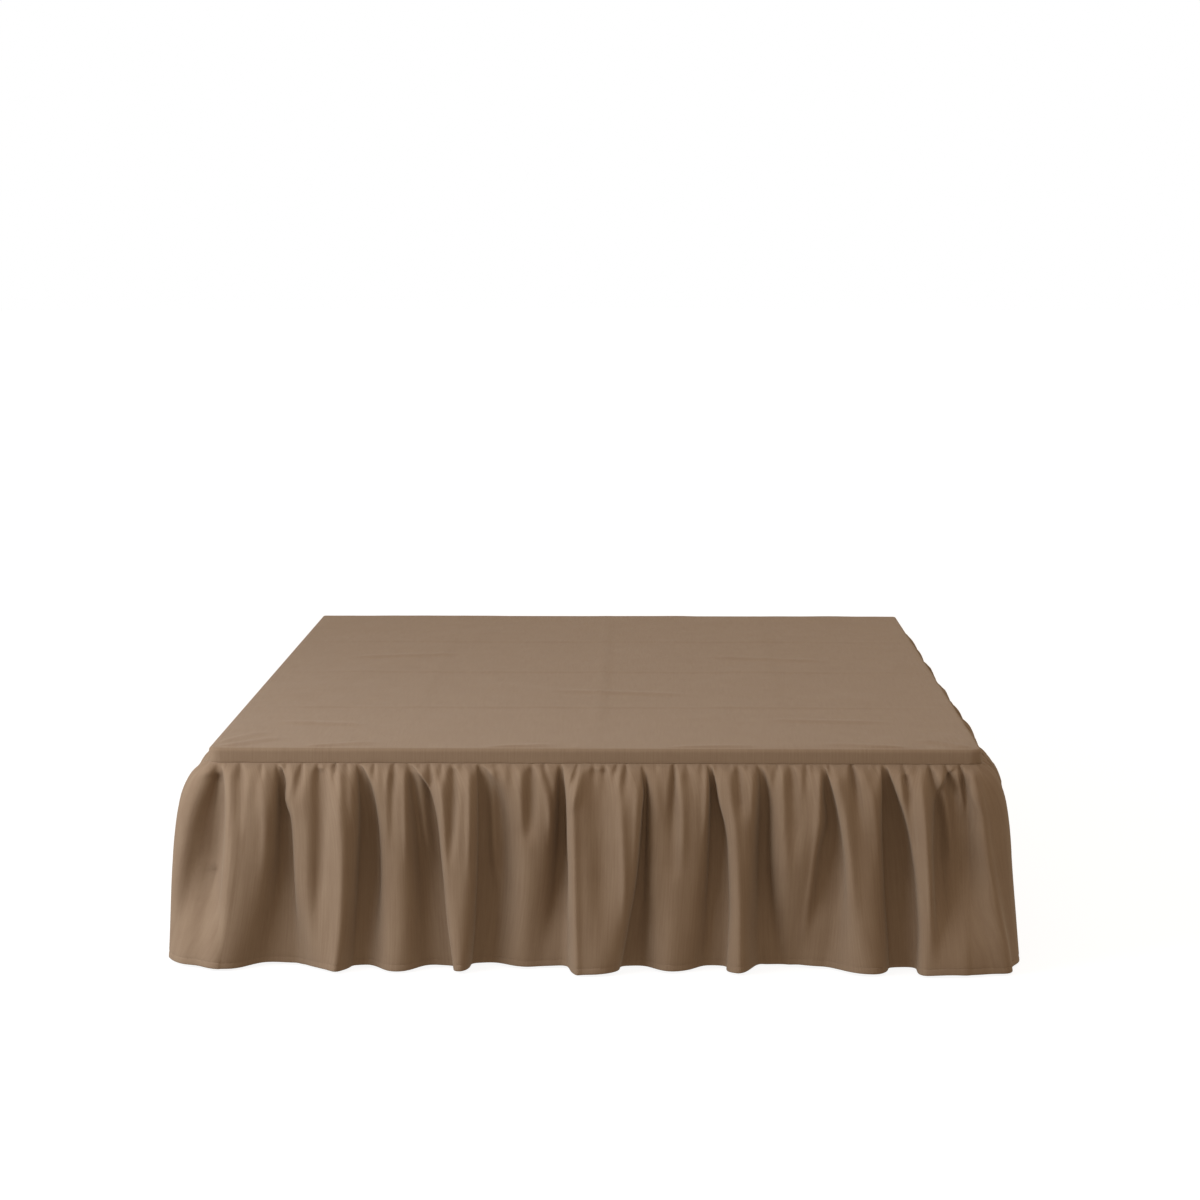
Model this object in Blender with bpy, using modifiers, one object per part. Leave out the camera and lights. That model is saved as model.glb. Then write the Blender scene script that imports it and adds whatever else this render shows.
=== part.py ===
"""A gathered bed skirt on a plain bed base.

The skirt is a deck panel that lies on the base, with its border turned down over
three edges, and three gathered drops sewn to that border: one at the foot, which
turns a little way round both foot corners, and one along each side. The head end
has no drop. All sizes are in metres, with +Z up and the foot end towards -Y.
"""
import math

import bmesh
import bpy

# ---------------------------------------------------------------- driving sizes
BASE_WIDTH = 1.350          # a double bed base
BASE_LENGTH = 1.900
BASE_BOTTOM = 0.050         # underside of the base, on its short legs
BASE_TOP = 0.383
BASE_CORNER = 0.015         # upholstered edges are rounded

LEG_RADIUS = 0.024
LEG_SIDES = 20
LEG_INSET = 0.075           # from the base's sides to a leg's centre
LEG_ROWS = 3

CLOTH = 0.0015              # thickness of the skirt's cloth
TOUCH = 0.0003              # what keeps two touching pieces apart

DECK_OVERHANG = 0.010       # from the base's sides to the border's outer face
DECK_CORNER = 0.025         # plan radius of the deck's foot corners
DECK_TURN = 0.004           # radius of the fold where the border turns down
BORDER_DROP = 0.0255        # height of the turned-down border
ARC_STEPS = 8

HEM_HEIGHT = 0.005          # the hem clears the floor
HEM_WAVER = 0.0008          # and is never quite straight
WAVER_STEP = 0.31           # angle of that wave from one point to the next
SPLIT_PAST_CORNER = 0.012   # the foot drop ends this far behind the corner's turn
SPLIT_GAP = 0.004           # slit between the foot drop and a side drop
SPLIT_LEAN = 0.001          # the slit hardly opens towards the hem
SPLIT_HANG = 0.90           # beside the slit the cloth hangs out nearly as far as its fold
HEAD_HANG = 0.30            # at the head end it hangs close to the base

CREST_ROUND = 0.60          # how round a crest is; 0 leaves its front flatter
TUCK_FROM = 0.03            # walls steepen over this share of the drop under the seam

# A fold opens a little right at the stitches, most of it soon below them, and
# the rest evenly down to the hem: shares of its stand-off, then the two depths.
OPEN_AT_ONCE = 0.10
OPEN_SOON = 0.55
OPEN_EVENLY = 0.35
ONCE_DEPTH = 0.004
SOON_DEPTH = 0.038
HEM_COUNTS_FROM = 0.4       # share of the drop where the hem's stand-off starts to count

GATHER_OUT = 0.0030         # small gathers just under the seam
GATHER_FADE = 0.040
GATHER_ONSET = 0.005
GATHERS = 1.5               # in each half fold
GATHER_UNEVEN = 0.45        # their sizes differ by this share
GATHER_CHANGE = 1.7         # and change this fast from one to the next

# ---------------------------------------------------------------- sizes worked out
DECK_TOP = BASE_TOP + TOUCH + CLOTH
SEAM_HEIGHT = DECK_TOP - BORDER_DROP
DROP = SEAM_HEIGHT - TOUCH - HEM_HEIGHT
FOLD_REACH = 0.112          # how far the fullest fold stands off the foot edge
BOX_LENGTH = BASE_LENGTH + DECK_OVERHANG + FOLD_REACH
HEAD_Y = BOX_LENGTH / 2
BASE_FOOT_Y = HEAD_Y - BASE_LENGTH
DECK_FOOT_Y = BASE_FOOT_Y - DECK_OVERHANG
DECK_HALF = BASE_WIDTH / 2 + DECK_OVERHANG
FOOT_STRAIGHT = DECK_HALF - DECK_CORNER
ARC_LENGTH = DECK_CORNER * math.pi / 2
CORNER_END = FOOT_STRAIGHT + ARC_LENGTH
SIDE_STRAIGHT = HEAD_Y - DECK_FOOT_Y - DECK_CORNER
EDGE_END = CORNER_END + SIDE_STRAIGHT
SPLIT = CORNER_END + SPLIT_PAST_CORNER

# Depth below the seam of each row of points, as shares of the drop.
FOOT_ROWS = (0.0, 0.018, 0.045, 0.095, 0.18, 0.30, 0.48, 0.72, 1.0)
SIDE_ROWS = (0.0, 0.022, 0.07, 0.17, 0.34, 0.62, 1.0)
FOOT_STEPS = 6              # steps from a crest to the next valley
SIDE_STEPS = 4

# ---------------------------------------------------------------- folds of the foot drop
# One row for each fold, left to right, in millimetres. The edges are where a
# crest turns back into its valley, measured along the deck's edge from the
# middle of the foot, just under the seam, half way down and at the hem. "out"
# is how far the crest stands off the border, "valley" the same for the valley
# to its right, and a "tuck" of 0 is a soft slope, 1 an upright wall and more
# than 1 a wall that runs back under its crest.
FOLD_COLUMNS = ("left_top", "left_mid", "left_hem",
                "right_top", "right_mid", "right_hem",
                "out_mid", "out_hem", "valley_mid", "valley_hem",
                "tuck_left", "tuck_right")
FOOT_FOLDS = (
    (-701, -702, -703, -684, -687, -691, 66, 77, 46, 74, 0.0, 0.3),
    (-664, -678, -686, -553, -558, -577, 66, 84, 8, 5, 0.3, 0.4),
    (-535, -532, -521, -418, -425, -435, 68, 90, 12, 28, 1.05, 0.8),
    (-392, -377, -371, -330, -301, -303, 60, 83, 8, 23, 0.9, 0.5),
    (-279, -268, -249, -211, -209, -216, 64, 88, 5, 15, 1.05, 1.1),
    (-164, -162, -164, -78, -74, -84, 30, 42, 16, 29, 0.2, 0.4),
    (-50, -46, -45, 84, 75, 46, 84, 112, 7, 28, 1.05, 1.05),
    (101, 98, 97, 205, 205, 181, 60, 76, 18, 33, 0.5, 0.8),
    (220, 234, 229, 289, 281, 277, 66, 88, 7, 18, 1.0, 0.9),
    (331, 313, 346, 397, 384, 372, 56, 26, 14, 19, 0.6, 0.7),
    (406, 437, 428, 498, 508, 516, 72, 95, 14, 40, 1.0, 0.9),
    (521, 553, 569, 600, 608, 624, 82, 111, 52, 84, 0.8, 0.2),
    (650, 663, 668, 700, 702, 703, 55, 64, 40, 50, 0.3, 0.0),
)

# ---------------------------------------------------------------- folds of the side drops
# The sides repeat an uneven run of folds. "pitch" is the share of a fold in its
# run, "crest" the part of that pitch which is crest, the rest being valley.
RUN_COLUMNS = ("pitch", "crest", "out_mid", "out_hem", "valley_mid", "valley_hem", "tuck")
SIDE_RUN = (
    (1.05, 0.60, 64, 80, 10, 18, 0.8),
    (0.82, 0.56, 72, 91, 8, 22, 1.0),
    (1.22, 0.66, 55, 70, 14, 26, 0.5),
    (0.90, 0.58, 68, 86, 6, 14, 1.0),
    (1.12, 0.62, 60, 76, 16, 30, 0.6),
    (0.76, 0.55, 74, 90, 9, 20, 1.0),
    (1.13, 0.64, 48, 62, 12, 24, 0.4),
)
SIDE_FOLDS = 16
LEFT_RUN_START = 0
RIGHT_RUN_START = 4
FOLD_LEAN = 0.012           # a fold's hem lies this far to one side of its top
LEAN_CHANGE = 2.3           # how the lean changes from fold to fold
HEM_SWELL = 0.06            # crests are wider at the hem by this share

SMOOTH_UP_TO = math.radians(50)
BEVEL_FROM = math.radians(60)


# ---------------------------------------------------------------- scene and materials
def empty_scene():
    for old in list(bpy.data.objects):
        bpy.data.objects.remove(old, do_unlink=True)


def material(name, hex_colour, roughness):
    """A plain surface with the part's colour, given as sRGB."""
    channels = [int(hex_colour[i:i + 2], 16) / 255 for i in (0, 2, 4)]
    linear = [c / 12.92 if c <= 0.04045 else ((c + 0.055) / 1.055) ** 2.4 for c in channels]
    mat = bpy.data.materials.new(name)
    mat.use_nodes = True
    shader = mat.node_tree.nodes["Principled BSDF"]
    shader.inputs["Base Color"].default_value = (*linear, 1.0)
    shader.inputs["Roughness"].default_value = roughness
    shader.inputs["Metallic"].default_value = 0.0
    return mat


def add_object(name, bm, mat, collection):
    mesh = bpy.data.meshes.new(name)
    bm.to_mesh(mesh)
    bm.free()
    mesh.shade_smooth()
    mesh.set_sharp_from_angle(angle=SMOOTH_UP_TO)
    mesh.materials.append(mat)
    obj = bpy.data.objects.new(name, mesh)
    collection.objects.link(obj)
    return obj


def add_thickness(obj, thickness):
    """Gives an open sheet its thickness, towards the bed."""
    solidify = obj.modifiers.new("cloth thickness", "SOLIDIFY")
    solidify.thickness = thickness
    solidify.offset = -1.0


# ---------------------------------------------------------------- the deck's edge
def edge_point(s):
    """Point on the border's outer face and its outward direction in plan.

    s runs along the deck's edge from the middle of the foot: to the right where
    it is positive, then round the corner and along the side to the head.
    """
    side = 1.0 if s >= 0 else -1.0
    run = abs(s)
    if run <= FOOT_STRAIGHT:
        return (s, DECK_FOOT_Y), (0.0, -1.0)
    if run < CORNER_END:
        turn = (run - FOOT_STRAIGHT) / DECK_CORNER
        out = (side * math.sin(turn), -math.cos(turn))
        centre = (side * FOOT_STRAIGHT, DECK_FOOT_Y + DECK_CORNER)
        return (centre[0] + out[0] * DECK_CORNER, centre[1] + out[1] * DECK_CORNER), out
    return (side * DECK_HALF, DECK_FOOT_Y + DECK_CORNER + run - CORNER_END), (side, 0.0)


# ---------------------------------------------------------------- drops
def named_rows(columns, rows):
    return [dict(zip(columns, row)) for row in rows]


def foot_folds():
    """The foot drop's folds, in metres."""
    folds = named_rows(FOLD_COLUMNS, FOOT_FOLDS)
    for fold in folds:
        for column in FOLD_COLUMNS[:-2]:
            fold[column] /= 1000
    return folds


def side_folds(run_start):
    """Folds of a right-hand side drop, from the slit to the head."""
    run = named_rows(RUN_COLUMNS, SIDE_RUN)
    picked = [run[(run_start + i) % len(run)] for i in range(SIDE_FOLDS)]
    room = EDGE_END - SPLIT - SPLIT_GAP
    scale = room / sum(row["pitch"] for row in picked)
    folds = []
    start = SPLIT + SPLIT_GAP
    for i, row in enumerate(picked):
        pitch = row["pitch"] * scale
        crest = pitch * row["crest"]
        middle = start + pitch / 2
        lean = FOLD_LEAN * math.sin(LEAN_CHANGE * i + run_start)
        fold = {"tuck_left": row["tuck"], "tuck_right": row["tuck"]}
        for level, share in (("top", 0.0), ("mid", 0.5), ("hem", 1.0)):
            half = crest / 2 * (1.0 + HEM_SWELL * share)
            fold["left_" + level] = middle - half + lean * share
            fold["right_" + level] = middle + half + lean * share
        for column in ("out_mid", "out_hem", "valley_mid", "valley_hem"):
            fold[column] = row[column] / 1000
        folds.append(fold)
        start += pitch
    return folds


def mirrored(folds):
    """The same folds on the other side, still listed left to right."""
    flipped = []
    for i in range(len(folds) - 1, -1, -1):
        fold = dict(folds[i])
        for level in ("top", "mid", "hem"):
            fold["left_" + level] = -folds[i]["right_" + level]
            fold["right_" + level] = -folds[i]["left_" + level]
        fold["tuck_left"] = folds[i]["tuck_right"]
        fold["tuck_right"] = folds[i]["tuck_left"]
        if i > 0:
            fold["valley_mid"] = folds[i - 1]["valley_mid"]
            fold["valley_hem"] = folds[i - 1]["valley_hem"]
        flipped.append(fold)
    return flipped


def between(top, mid, hem, t):
    """Smooth run through three values, at t of 0, 0.5 and 1."""
    return top * (1 - t) * (1 - 2 * t) + mid * 4 * t * (1 - t) + hem * t * (2 * t - 1)


def growth(t):
    """How far a fold has opened at t of its drop: fast under the seam, then slowly."""
    v = t * DROP
    at_once = OPEN_AT_ONCE * (1 - math.exp(-v / ONCE_DEPTH))
    soon = OPEN_SOON * (1 - math.exp(-v / SOON_DEPTH))
    return at_once + soon + OPEN_EVENLY * t


def stand_off(mid, hem, t):
    """Offset of a crest or valley at t, from its values half way down and at the hem."""
    blend = min(max((t - HEM_COUNTS_FROM) / (1 - HEM_COUNTS_FROM), 0.0), 1.0)
    blend = blend * blend * (3 - 2 * blend)
    upper = mid / growth(0.5)
    return growth(t) * (upper + (hem / growth(1.0) - upper) * blend)


def level_of(fold, side, t):
    return between(fold[side + "_top"], fold[side + "_mid"], fold[side + "_hem"], t)


def free_edge(end, fold, t):
    """A panel's free edge at t: where it is, and how far it hangs out beside its fold."""
    place, lean, hang = end
    return place + lean * t, hang * stand_off(fold["out_mid"], fold["out_hem"], t)


def knots_at(folds, ends, t):
    """Crests, valleys and the walls between them at t, along the deck's edge."""
    knots = [free_edge(ends[0], folds[0], t)]
    walls = []
    for i, fold in enumerate(folds):
        left = level_of(fold, "left", t)
        right = level_of(fold, "right", t)
        out = stand_off(fold["out_mid"], fold["out_hem"], t)
        walls.append((left, fold["tuck_left"]))
        knots.append(((left + right) / 2, out))
        walls.append((right, fold["tuck_right"]))
        if i + 1 < len(folds):
            next_left = level_of(folds[i + 1], "left", t)
            low = stand_off(fold["valley_mid"], fold["valley_hem"], t)
            knots.append(((right + next_left) / 2, low))
    knots.append(free_edge(ends[1], folds[-1], t))
    return knots, walls


def wall_point(a, b, wall, step, t):
    """Point at step (0 to 1) from knot a to knot b, half way where the wall stands."""
    place, tuck = wall
    span = b[0] - a[0]
    share = (place - a[0]) / span
    skew = (1 - share) / share
    steepness = 4 * skew / (1 + skew) ** 2
    tuck *= steepness * min(t / TUCK_FROM, 1.0)
    along = step / (step + skew * (1 - step))
    along += tuck * math.sin(2 * math.pi * step) / (2 * math.pi)
    fall = step if a[1] >= b[1] else 1 - step
    depth = fall ** 3 * (10 - 15 * fall + 6 * fall ** 2)
    depth += CREST_ROUND * t * math.sin(math.pi * fall) ** 2 * (1 - fall)
    return a[0] + span * along, max(a[1], b[1]) - abs(b[1] - a[1]) * depth


def gather(count, t):
    """Small gathers under the seam; count is the half folds passed so far."""
    v = t * DROP
    size = GATHER_OUT * (1 + GATHER_UNEVEN * math.sin(GATHER_CHANGE * count))
    size *= math.exp(-v / GATHER_FADE) * (1 - math.exp(-v / GATHER_ONSET))
    return size * (1 + math.cos(2 * math.pi * GATHERS * count))


def drop_row(folds, ends, steps, t):
    """One row of the sheet: how far along the edge and how far out each point is."""
    knots, walls = knots_at(folds, ends, t)
    row = []
    for i, wall in enumerate(walls):
        for k in range(steps):
            s, out = wall_point(knots[i], knots[i + 1], wall, k / steps, t)
            row.append((s, out + gather(i + k / steps, t)))
    row.append((knots[-1][0], knots[-1][1] + gather(len(walls), t)))
    return row


def drop_points(folds, ends, shares, steps):
    """Rows of points from the seam down to the hem."""
    rows = []
    for t in shares:
        points = []
        for i, (s, out) in enumerate(drop_row(folds, ends, steps, t)):
            (x, y), normal = edge_point(s)
            z = HEM_HEIGHT + (1 - t) * DROP + t * HEM_WAVER * math.sin(WAVER_STEP * i)
            points.append((x + normal[0] * out, y + normal[1] * out, z))
        rows.append(points)
    return rows


def make_drop(name, folds, ends, shares, steps, mat, collection):
    """A gathered drop: a grid moved onto its folds, then given its thickness."""
    rows = drop_points(folds, ends, shares, steps)
    across = len(rows[0]) - 1
    down = len(rows) - 1
    bm = bmesh.new()
    bmesh.ops.create_grid(bm, x_segments=across, y_segments=down, size=1.0)
    for vert in bm.verts:
        column = round((vert.co.x + 1) / 2 * across)
        row = round((1 - vert.co.y) / 2 * down)
        vert.co = rows[row][column]
    obj = add_object(name, bm, mat, collection)
    add_thickness(obj, CLOTH)
    return obj


# ---------------------------------------------------------------- deck, base and legs
def make_deck(mat, collection):
    """The deck panel with its border turned down over the foot and both sides."""
    bends = [FOOT_STRAIGHT + ARC_LENGTH * i / ARC_STEPS for i in range(ARC_STEPS + 1)]
    stops = [-EDGE_END] + [-s for s in reversed(bends)] + bends + [EDGE_END]
    bm = bmesh.new()
    rim = [bm.verts.new((*edge_point(s)[0], DECK_TOP)) for s in stops]
    bm.faces.new(rim)
    hanging = [e for e in bm.edges if min(v.co.y for v in e.verts) < HEAD_Y - TOUCH]
    border = bmesh.ops.extrude_edge_only(bm, edges=hanging)
    lower = [v for v in border["geom"] if isinstance(v, bmesh.types.BMVert)]
    bmesh.ops.translate(bm, verts=lower, vec=(0, 0, -BORDER_DROP))
    bmesh.ops.recalc_face_normals(bm, faces=bm.faces)
    if max(bm.faces, key=lambda f: f.calc_area()).normal.z < 0:
        bmesh.ops.reverse_faces(bm, faces=bm.faces)
    deck = add_object("deck_panel", bm, mat, collection)
    turn = deck.modifiers.new("border fold", "BEVEL")
    turn.width = DECK_TURN
    turn.segments = 2
    turn.limit_method = "ANGLE"
    turn.angle_limit = BEVEL_FROM
    add_thickness(deck, CLOTH)
    return deck


def make_base(mat, collection):
    bm = bmesh.new()
    bmesh.ops.create_cube(bm, size=1.0)
    height = BASE_TOP - BASE_BOTTOM
    bmesh.ops.scale(bm, verts=bm.verts, vec=(BASE_WIDTH, BASE_LENGTH, height))
    base = add_object("bed_base", bm, mat, collection)
    base.location = (0.0, (BASE_FOOT_Y + HEAD_Y) / 2, (BASE_BOTTOM + BASE_TOP) / 2)
    edge = base.modifiers.new("rounded edges", "BEVEL")
    edge.width = BASE_CORNER
    edge.segments = 3
    return base


def make_legs(mat, collection):
    """Short round legs in pairs, under both long sides of the base."""
    height = BASE_BOTTOM - TOUCH
    first_y = BASE_FOOT_Y + LEG_INSET
    step_y = (BASE_LENGTH - 2 * LEG_INSET) / (LEG_ROWS - 1)
    leg_x = BASE_WIDTH / 2 - LEG_INSET
    for row in range(LEG_ROWS):
        for side, name in ((-1, "left"), (1, "right")):
            bm = bmesh.new()
            bmesh.ops.create_cone(bm, cap_ends=True, segments=LEG_SIDES,
                                  radius1=LEG_RADIUS, radius2=LEG_RADIUS, depth=height)
            leg = add_object(f"base_leg_{name}_{row + 1}", bm, mat, collection)
            leg.location = (side * leg_x, first_y + row * step_y, height / 2)


def main():
    empty_scene()
    parts = bpy.data.collections.new("bed_skirt")
    bpy.context.scene.collection.children.link(parts)
    cloth = material("brown plain-weave cotton", "8B7158", 0.92)
    ticking = material("natural ticking", "D9D4C8", 0.9)
    leg_plastic = material("moulded black plastic", "26241F", 0.5)

    make_base(ticking, parts)
    make_legs(leg_plastic, parts)
    make_deck(cloth, parts)

    foot_ends = ((-SPLIT, SPLIT_LEAN, SPLIT_HANG), (SPLIT, -SPLIT_LEAN, SPLIT_HANG))
    make_drop("foot_drop", foot_folds(), foot_ends, FOOT_ROWS, FOOT_STEPS, cloth, parts)

    side_start = SPLIT + SPLIT_GAP
    right_ends = ((side_start, SPLIT_LEAN, SPLIT_HANG), (EDGE_END, 0.0, HEAD_HANG))
    right = side_folds(RIGHT_RUN_START)
    make_drop("right_drop", right, right_ends, SIDE_ROWS, SIDE_STEPS, cloth, parts)
    left_ends = ((-EDGE_END, 0.0, HEAD_HANG), (-side_start, -SPLIT_LEAN, SPLIT_HANG))
    left = mirrored(side_folds(LEFT_RUN_START))
    make_drop("left_drop", left, left_ends, SIDE_ROWS, SIDE_STEPS, cloth, parts)


main()
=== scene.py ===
"""The looks of a gathered bed skirt on a plain bed base.

The skirt is a deck panel that lies on the base, with its border turned down over
three edges, and three gathered drops sewn to that border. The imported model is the
frame: each cloth piece here is the fine form of one of its solids, in metres, with
+Z up and the foot end towards -Y.
"""
import math

import bmesh
import bpy
import numpy as np
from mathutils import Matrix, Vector, noise


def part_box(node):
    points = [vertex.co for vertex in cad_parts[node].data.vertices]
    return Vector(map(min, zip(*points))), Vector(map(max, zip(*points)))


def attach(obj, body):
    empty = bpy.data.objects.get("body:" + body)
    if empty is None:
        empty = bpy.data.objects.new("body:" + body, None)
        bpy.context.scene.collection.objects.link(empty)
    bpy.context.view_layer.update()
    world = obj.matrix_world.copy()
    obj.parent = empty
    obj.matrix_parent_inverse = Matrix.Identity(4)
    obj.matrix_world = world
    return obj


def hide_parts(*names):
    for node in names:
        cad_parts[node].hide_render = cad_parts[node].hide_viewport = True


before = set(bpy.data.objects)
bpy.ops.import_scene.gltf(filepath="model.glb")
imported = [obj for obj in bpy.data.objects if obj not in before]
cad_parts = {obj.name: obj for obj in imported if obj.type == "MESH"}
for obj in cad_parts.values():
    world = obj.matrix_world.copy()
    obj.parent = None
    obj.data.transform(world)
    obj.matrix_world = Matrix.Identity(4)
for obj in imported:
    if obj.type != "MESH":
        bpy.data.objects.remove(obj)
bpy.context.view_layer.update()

# ---------------------------------------------------------------- sizes from the frame
deck_low, deck_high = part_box("deck_panel")
DECK_HALF = deck_high.x
DECK_FOOT_Y = deck_low.y
HEAD_Y = deck_high.y
DECK_TOP = deck_high.z
SEAM_HEIGHT = deck_low.z

# ---------------------------------------------------------------- sizes shared with the solids
TOUCH = 0.0003              # what keeps two touching pieces apart
DECK_CORNER = 0.025         # plan radius of the deck's foot corners
HEM_HEIGHT = 0.005          # the hem clears the floor
HEM_WAVER = 0.0008          # and is never quite straight
SPLIT_PAST_CORNER = 0.012   # the foot drop ends this far behind the corner's turn
SPLIT_GAP = 0.004           # slit between the foot drop and a side drop
SPLIT_LEAN = 0.001          # the slit hardly opens towards the hem
SPLIT_HANG = 0.90           # beside the slit the foot drop hangs out nearly as far as its fold
HEAD_HANG = 0.30            # at the head end a side drop hangs close to the base

TUCK_FROM = 0.03            # walls steepen over this share of the drop under the seam
OPEN_AT_ONCE = 0.10         # share of a fold's stand-off that opens at the stitches,
OPEN_SOON = 0.55            # soon below them,
OPEN_EVENLY = 0.35          # and evenly down to the hem
ONCE_DEPTH = 0.007          # depth over which the first share opens,
SOON_DEPTH = 0.038          # and the second
HEM_COUNTS_FROM = 0.4       # share of the drop where the hem's stand-off starts to count

DROP = SEAM_HEIGHT - TOUCH - HEM_HEIGHT
FOOT_STRAIGHT = DECK_HALF - DECK_CORNER
CORNER_END = FOOT_STRAIGHT + DECK_CORNER * math.pi / 2
EDGE_END = CORNER_END + HEAD_Y - DECK_FOOT_Y - DECK_CORNER
SPLIT = CORNER_END + SPLIT_PAST_CORNER

# ---------------------------------------------------------------- the drops' fine sizes
CLOTH = 0.0009              # the real cloth is thinner than its solid
FOOT_CELL = 0.0026          # width of a mesh cell along the hem,
SIDE_CELL = 0.0050          # which is coarser at the sides
LEAST_CELLS = 4             # in each half fold
FINE_STEPS = 48             # steps in which a half fold is measured
ROW_FIRST = 0.0012          # height of the first row of cells under the seam,
ROW_GROWTH = 1.20           # which grow downwards,
ROW_MOST = 0.0110           # up to this height
ROW_ROOM = 1.5              # and end this many rows above the hem's stitches

# The hem and the rows of cells around it.
HEM_DEPTH = 0.010           # the hem is turned up this far inside
HEM_GROOVE = 0.0007         # its stitches draw the cloth in,
STITCH_WIDTH = 0.0018       # over this height
HEM_TURN = 0.0011           # radius of the hem's fold
WAVER_LENGTH = 0.019        # a wave of the hem's edge is 2 pi times as long
STITCH_ROWS = (-0.004, -0.0015, 0.0, 0.0015, 0.004)     # rows beside the stitches,
EDGE_ROWS = (0.0035, HEM_TURN)                          # above the hem's edge,
HEM_ANGLES = np.radians((36, 72, 108, 144, 180))        # round its fold
HEM_RISES = np.array((0.003, 0.006, HEM_DEPTH))         # and up inside

# A drop's top is sewn in behind the border: rise above the seam and offset of its rows.
SEAM_ROWS = ((0.0036, -0.0014), (0.0012, -0.0012), (0.0, -0.0008))
SEAM_FLOOR = -0.0012        # pleats reach this far in behind the border's face
SIDE_HANG = 0.62            # beside the slit a side drop stays behind the foot drop

PINCH_DEPTH = 0.034         # a valley starts as a narrow pleat and is open this far down;
PINCH_HALF = 0.004          # half the pleat's width
PUFF = 0.0050               # between its pleats the cloth puffs out at the seam,
PUFF_ONSET = 0.009          # rising over this depth
PUFF_FADE = 0.065           # and gone over this one,
PUFF_EASE = 1.5             # slowly at first,
PUFF_LEAST = 0.0001         # until too little is left to show,
PUFF_LENGTH = 0.016         # and never evenly
PLEAT_ONSET = 0.0045        # a pleat starts softly, a little under the stitches;
PLEAT_START = 0.75          # it is this share of its width at the seam,
PLEAT_SPREAD = 1.15         # opens by this share over its length,
PLEAT_RUN = 1.5             # and on to this many times its length,
PLEAT_FADE = 1.4            # and fades, slowly at first,
PLEAT_LEAST = 0.01          # until this share of its depth is left
CREASE_ONSET = 0.012        # ridges and troughs rise over this depth
CREASE_FADE = 0.45          # and fade over this share of their length
DISH_REACH = 0.26           # share of a half fold that is hollow beside its crest
DISH_END = 0.08             # over this depth a hollow ends
WOBBLE = 0.0014             # fold edges wander by this,
WOBBLE_LENGTH = 0.085       # over this depth,
WOBBLE_START = {"left": 0.3, "right": 5.3}      # and each in its own way,
WOBBLE_STEP = 3.7                               # fold by fold

# The cloth between its folds is never quite even: height, length along the hem and
# down the drop, and what sets this noise apart from the others.
UNEVEN = ((0.0018, 0.075, 0.22, 0.0), (0.0010, 0.024, 0.10, 7.5))
UNEVEN_ONSET = 0.05         # it rises over this depth

# ---------------------------------------------------------------- folds of the foot drop
# One row for each fold, left to right, in millimetres, as in the solids: where a
# crest turns back into its valleys just under the seam, half way down and at the
# hem; how far the crest and the valley to its right stand off; how steep its walls
# are.
FOLD_COLUMNS = ("left_top", "left_mid", "left_hem",
                "right_top", "right_mid", "right_hem",
                "out_mid", "out_hem", "valley_mid", "valley_hem",
                "tuck_left", "tuck_right")
FOOT_FOLDS = (
    (-702, -703, -704, -668, -683, -689, 68, 77, 20, 75, 0.0, 0.7),
    (-645, -655, -671, -556, -563, -590, 66, 80, 18, 27, 1.0, 0.4),
    (-532, -529, -519, -412, -416, -427, 68, 84, 12, 46, 1.05, 0.8),
    (-384, -376, -383, -324, -312, -298, 60, 91, 8, 44, 0.9, 0.5),
    (-276, -267, -245, -206, -206, -217, 64, 94, 5, 24, 1.1, 1.1),
    (-158, -152, -169, -66, -72, -90, 44, 50, 5, 46, 0.3, 0.4),
    (-50, -46, -43, 86, 76, 46, 84, 112, 34, 42, 1.1, 0.85),
    (98, 94, 90, 206, 200, 190, 60, 81, 16, 42, 0.2, 0.8),
    (216, 237, 233, 292, 286, 291, 66, 92, 9, 27, 1.0, 0.4),
    (317, 313, 334, 405, 390, 362, 56, 34, 26, 44, 0.4, 0.5),
    (414, 440, 431, 504, 509, 518, 72, 104, 12, 50, 0.9, 1.0),
    (524, 562, 566, 590, 595, 606, 82, 110, 36, 110, 1.05, 0.6),
    (657, 667, 676, 700, 702, 703, 57, 74, 40, 50, 0.8, 0.0),
)

# The finer form of the same folds: where the valley to the right starts at the seam,
# in millimetres (0 in the last row, which has none); where the crest is highest, as a
# share of its width, at three levels; how round it is on both sides; how steep its
# walls still are at the hem.
CREST_COLUMNS = ("pleat", "crest_top", "crest_mid", "crest_hem",
                 "round_left", "round_right", "hem_left", "hem_right")
FOOT_CRESTS = (
    (-664, 0.50, 0.50, 0.50, 0.5, 0.2, 0.0, 0.2),
    (-561, 0.30, 0.28, 0.14, 0.9, 0.7, 0.0, 0.0),
    (-418, 0.55, 0.74, 0.68, 0.8, 0.5, 0.1, 0.6),
    (-330, 0.50, 0.50, 0.44, 0.3, 0.6, 0.1, 0.1),
    (-203, 0.50, 0.50, 0.40, 0.2, 0.4, 1.2, 0.9),
    (-60, 0.50, 0.52, 0.44, 0.5, 0.6, 0.0, 0.0),
    (86, 0.36, 0.34, 0.36, 0.2, 0.3, 0.6, 0.9),
    (202, 0.46, 0.44, 0.40, 0.6, 0.7, 0.0, 0.1),
    (288, 0.44, 0.32, 0.45, 0.2, 0.9, 1.1, 0.1),
    (402, 0.50, 0.50, 0.50, 0.5, 0.6, 0.1, 0.1),
    (510, 0.44, 0.30, 0.62, 0.3, 0.6, 0.1, 0.8),
    (642, 0.60, 0.60, 0.50, 0.2, 0.6, 1.0, 0.3),
    (0, 0.50, 0.50, 0.50, 0.5, 0.5, 0.3, 0.0),
)

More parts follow.
